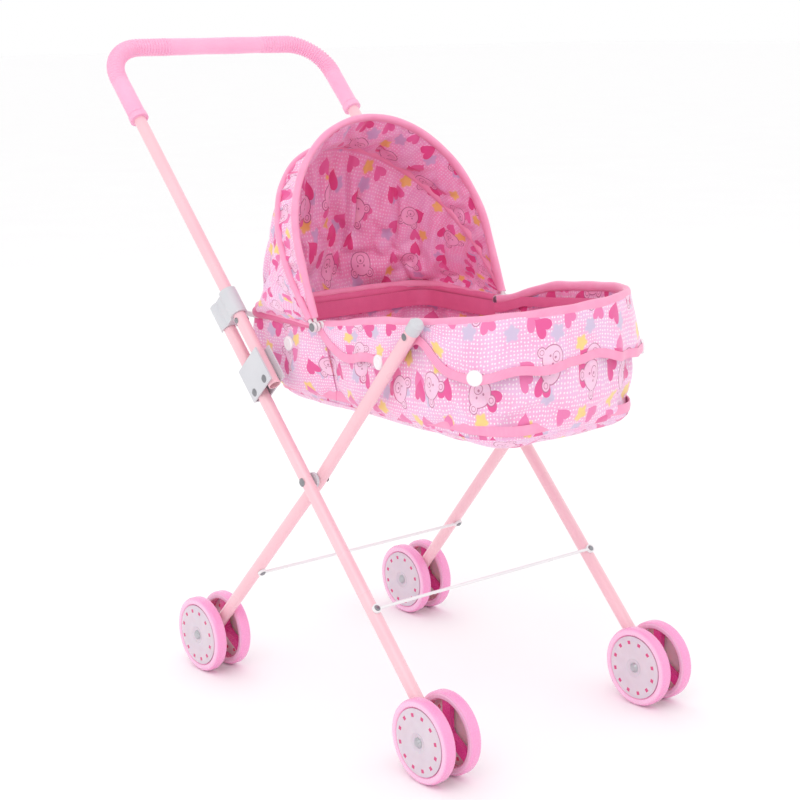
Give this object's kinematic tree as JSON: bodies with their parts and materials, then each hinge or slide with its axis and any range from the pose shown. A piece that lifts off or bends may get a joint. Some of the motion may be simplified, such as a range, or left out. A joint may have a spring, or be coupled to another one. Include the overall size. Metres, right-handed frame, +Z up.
{
  "type": "doll stroller",
  "caption": "Folding doll stroller: crossed tube legs, twin wheels, fabric basket with canopy, and a U handle.",
  "frame": {"origin": "on the floor under the middle of the box round the whole stroller", "axes": "+Z up, +X towards the right side as seen from the foot end, -Y towards the foot end (front wheels), +Y towards the handle"},
  "size_m": [0.2696, 0.5008, 0.5449],
  "materials": {
    "wheel_plastic": "moulded, glossy",
    "hubcap_plastic": "milky, glossy",
    "steel": "plated",
    "pink_tube": "pale pink powder coat, semi-gloss",
    "rivet_steel": "plated",
    "pale_plastic": "moulded, semi-gloss",
    "bracket_plastic": "pale grey coat, satin",
    "white_rod": "white coat",
    "grip_plastic": "soft sleeve, satin",
    "wire_steel": "white coat",
    "printed_fabric": "printed woven polyester",
    "button_plastic": "moulded, glossy"
  },
  "bodies": {
    "front_leg_frame": {"left_front_leg": "pink_tube", "right_front_leg": "pink_tube", "left_bracket": "bracket_plastic", "right_bracket": "bracket_plastic", "leg_bracket_rivets": "rivet_steel", "handle_pivot_rivets": "rivet_steel", "crossing_rivets": "rivet_steel", "crossing_spacers": "pale_plastic", "front_cross_rod": "white_rod", "front_rod_rivets": "rivet_steel", "left_front_axle": "steel", "right_front_axle": "steel", "rear_rim_pins": "rivet_steel"},
    "rear_leg_frame": {"left_rear_leg": "pink_tube", "right_rear_leg": "pink_tube", "left_rear_leg_cap": "pale_plastic", "right_rear_leg_cap": "pale_plastic", "rear_cross_rod": "white_rod", "rear_rod_rivets": "rivet_steel", "left_rear_axle": "steel", "right_rear_axle": "steel", "front_rim_rivets": "rivet_steel"},
    "handle": {"handle_tube": "pink_tube", "handle_grip": "grip_plastic", "grip_end_rings": "grip_plastic", "collar_stop_rivets": "rivet_steel"},
    "left_collar_slider": {"left_collar": "pale_plastic"},
    "right_collar_slider": {"right_collar": "pale_plastic"},
    "rear_rim": {"rear_rim_wire": "wire_steel", "middle_rivets": "rivet_steel", "basket_rear": "printed_fabric", "rear_buttons": "button_plastic", "canopy_rear_panel": "printed_fabric"},
    "front_rim": {"front_rim_wire": "wire_steel", "basket_front": "printed_fabric", "front_buttons": "button_plastic"},
    "canopy_mid": {"canopy_mid_bow": "wire_steel"},
    "canopy_front": {"canopy_front_bow": "wire_steel", "canopy_front_panel": "printed_fabric"},
    "left_front_outer_roller": {"left_front_outer_wheel": "wheel_plastic", "left_front_outer_hubcap": "hubcap_plastic"},
    "left_front_inner_roller": {"left_front_inner_wheel": "wheel_plastic", "left_front_inner_hubcap": "hubcap_plastic"},
    "left_rear_outer_roller": {"left_rear_outer_wheel": "wheel_plastic", "left_rear_outer_hubcap": "hubcap_plastic"},
    "left_rear_inner_roller": {"left_rear_inner_wheel": "wheel_plastic", "left_rear_inner_hubcap": "hubcap_plastic"},
    "right_front_outer_roller": {"right_front_outer_wheel": "wheel_plastic", "right_front_outer_hubcap": "hubcap_plastic"},
    "right_front_inner_roller": {"right_front_inner_wheel": "wheel_plastic", "right_front_inner_hubcap": "hubcap_plastic"},
    "right_rear_outer_roller": {"right_rear_outer_wheel": "wheel_plastic", "right_rear_outer_hubcap": "hubcap_plastic"},
    "right_rear_inner_roller": {"right_rear_inner_wheel": "wheel_plastic", "right_rear_inner_hubcap": "hubcap_plastic"}
  },
  "joints": [
    {"name": "frame_fold", "type": "hinge", "parent": "front_leg_frame", "child": "rear_leg_frame", "pos_m": [0, -0.04947, 0.2], "axis": [-1, 0, 0], "range_deg": [0, 56]},
    {"name": "rear_rim_fold", "type": "hinge", "parent": "front_leg_frame", "child": "rear_rim", "pos_m": [0, 0.06466, 0.32038], "axis": [-1, 0, 0], "range_deg": [0, 110], "deforming": ["basket_rear"]},
    {"name": "front_rim_fold", "type": "hinge", "parent": "rear_rim", "child": "front_rim", "pos_m": [0, -0.04578, 0.323], "axis": [1, 0, 0], "range_deg": [0, 139.04], "deforming": ["basket_front"]},
    {"name": "handle_fold", "type": "hinge", "parent": "front_leg_frame", "child": "handle", "pos_m": [0, -0.00317, 0.2779], "axis": [1, 0, 0], "range_deg": [0, 150]},
    {"name": "canopy_fold", "type": "hinge", "parent": "rear_rim", "child": "canopy_front", "pos_m": [0, -0.04578, 0.323], "axis": [-1, 0, 0], "range_deg": [0, 50], "deforming": ["canopy_front_panel", "canopy_rear_panel"]},
    {"name": "canopy_mid_fold", "type": "hinge", "parent": "rear_rim", "child": "canopy_mid", "pos_m": [0, -0.04578, 0.323], "axis": [-1, 0, 0], "range_deg": [0, 34]},
    {"name": "left_collar_slide", "type": "slide", "parent": "handle", "child": "left_collar_slider", "axis": [0, 0.688, 0.7257], "range_m": [0, 0.04]},
    {"name": "right_collar_slide", "type": "slide", "parent": "handle", "child": "right_collar_slider", "axis": [0, 0.688, 0.7257], "range_m": [0, 0.04]},
    {"name": "left_front_outer_spin", "type": "hinge", "parent": "front_leg_frame", "child": "left_front_outer_roller", "pos_m": [-0.1155, -0.20778, 0.033], "axis": [1, 0, 0], "continuous": true},
    {"name": "left_front_inner_spin", "type": "hinge", "parent": "front_leg_frame", "child": "left_front_inner_roller", "pos_m": [-0.1155, -0.20778, 0.033], "axis": [1, 0, 0], "continuous": true},
    {"name": "left_rear_outer_spin", "type": "hinge", "parent": "rear_leg_frame", "child": "left_rear_outer_roller", "pos_m": [-0.1155, 0.10021, 0.033], "axis": [1, 0, 0], "continuous": true},
    {"name": "left_rear_inner_spin", "type": "hinge", "parent": "rear_leg_frame", "child": "left_rear_inner_roller", "pos_m": [-0.1155, 0.10021, 0.033], "axis": [1, 0, 0], "continuous": true},
    {"name": "right_front_outer_spin", "type": "hinge", "parent": "front_leg_frame", "child": "right_front_outer_roller", "pos_m": [0.1155, -0.20778, 0.033], "axis": [1, 0, 0], "continuous": true},
    {"name": "right_front_inner_spin", "type": "hinge", "parent": "front_leg_frame", "child": "right_front_inner_roller", "pos_m": [0.1155, -0.20778, 0.033], "axis": [1, 0, 0], "continuous": true},
    {"name": "right_rear_outer_spin", "type": "hinge", "parent": "rear_leg_frame", "child": "right_rear_outer_roller", "pos_m": [0.1155, 0.10021, 0.033], "axis": [1, 0, 0], "continuous": true},
    {"name": "right_rear_inner_spin", "type": "hinge", "parent": "rear_leg_frame", "child": "right_rear_inner_roller", "pos_m": [0.1155, 0.10021, 0.033], "axis": [1, 0, 0], "continuous": true}
  ],
  "couplings": [
    {"joint": "rear_rim_fold", "follows": "frame_fold", "ratio": 1.9641},
    {"joint": "front_rim_fold", "follows": "frame_fold", "ratio": 2.4827},
    {"joint": "canopy_mid_fold", "follows": "canopy_fold", "ratio": 0.68}
  ]
}
